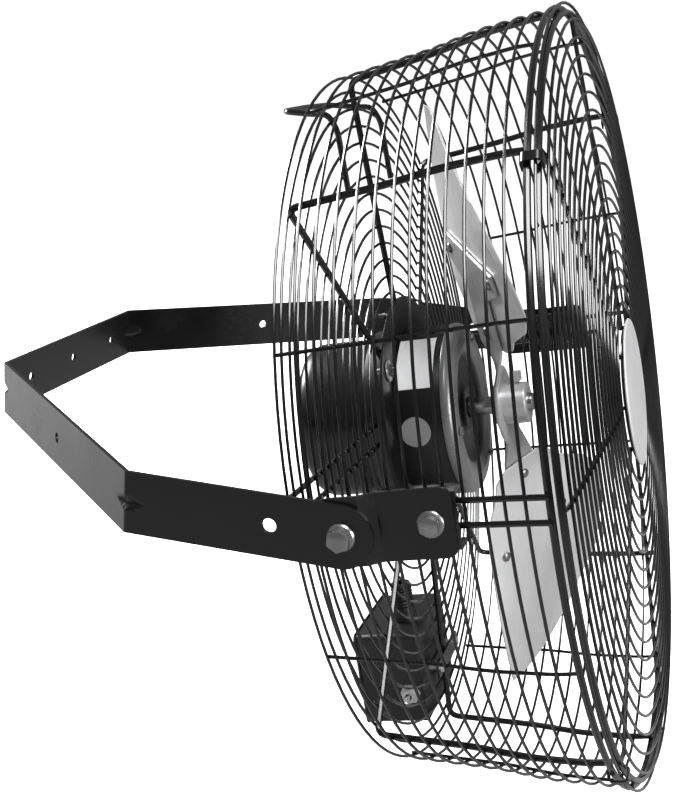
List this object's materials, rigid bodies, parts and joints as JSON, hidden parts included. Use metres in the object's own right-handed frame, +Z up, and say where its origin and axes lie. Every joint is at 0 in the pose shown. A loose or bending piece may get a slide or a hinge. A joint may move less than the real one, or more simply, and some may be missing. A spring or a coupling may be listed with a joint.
{
  "type": "wall mounted fan",
  "caption": "Wall fan with a round wire cage on a bent flat-bar yoke; cage and motor tilt on two pivots, broad twisted blades spin behind a domed wire front.",
  "frame": {"origin": "on the wall face of the yoke, on flat bar 13 mm above the middle hole", "axes": "+Z up, +Y into the wall, -Y the way the fan blows, X along the tilt pivots"},
  "size_m": [0.7006, 0.5903, 0.6531],
  "materials": {
    "yoke_black": "satin",
    "wire_black": "gloss",
    "motor_black": "satin",
    "bell_grey": "satin",
    "aluminium": "satin",
    "zinc": "satin",
    "shaft_steel": "polished",
    "core_steel": "matte",
    "copper": "satin",
    "badge_grey": "satin",
    "label_white": "matte",
    "sticker_grey": "matte",
    "box_black": "satin",
    "plastic_black": "matte"
  },
  "bodies": {
    "yoke": {"wall_yoke": "yoke_black", "pivot_bolt_left": "zinc", "pivot_nut_left": "zinc", "pivot_bolt_right": "zinc", "pivot_nut_right": "zinc"},
    "head": {"pivot_bracket_left": "yoke_black", "bracket_bolt_left": "zinc", "bracket_nut_left": "zinc", "pivot_bracket_right": "yoke_black", "bracket_bolt_right": "zinc", "bracket_nut_right": "zinc", "rear_guard": "wire_black", "front_guard": "wire_black", "centre_badge": "badge_grey", "guard_clip_1": "yoke_black", "guard_clip_2": "yoke_black", "guard_clip_3": "yoke_black", "guard_clip_4": "yoke_black", "carry_handle": "wire_black", "motor_mount_plate": "motor_black", "motor_bolt_1": "zinc", "motor_bolt_2": "zinc", "motor_bolt_3": "zinc", "motor_bolt_4": "zinc", "motor_shell": "motor_black", "motor_rear_housing": "motor_black", "motor_rear_shield": "motor_black", "motor_front_bell": "bell_grey", "bell_screw_1": "zinc", "bell_screw_2": "zinc", "bell_screw_3": "zinc", "rear_bearing": "shaft_steel", "front_bearing": "shaft_steel", "stator_core": "core_steel", "rear_winding": "copper", "front_winding": "copper", "rating_plate": "label_white", "round_sticker": "sticker_grey", "control_box": "box_black", "box_cover": "box_black", "box_clamp_bar": "yoke_black", "box_screw_left": "zinc", "box_screw_right": "zinc", "side_gland": "zinc", "top_gland": "plastic_black", "switch_bushing": "zinc"},
    "rotor": {"motor_shaft": "shaft_steel", "rotor_core": "core_steel", "blade_hub": "zinc", "hub_set_screw": "shaft_steel", "blade_spider": "zinc", "blade_a": "aluminium", "rivet_a1": "zinc", "rivet_a2": "zinc", "rivet_a3": "zinc", "blade_b": "aluminium", "rivet_b1": "zinc", "rivet_b2": "zinc", "rivet_b3": "zinc"},
    "switch": {"switch_lever": "zinc"}
  },
  "joints": [
    {"name": "tilt", "type": "hinge", "parent": "yoke", "child": "head", "pos_m": [0, -0.373, -0.013], "axis": [1, 0, 0], "range_deg": [-31.8, 58.2]},
    {"name": "blade_spin", "type": "hinge", "parent": "head", "child": "rotor", "pos_m": [0, -0.373, -0.013], "axis": [0, -0.9736, 0.2284], "continuous": true},
    {"name": "switch_toggle", "type": "hinge", "parent": "head", "child": "switch", "pos_m": [-0.0538, -0.36686, -0.26711], "axis": [0, -0.9736, 0.2284], "range_deg": [-9, 9]}
  ]
}
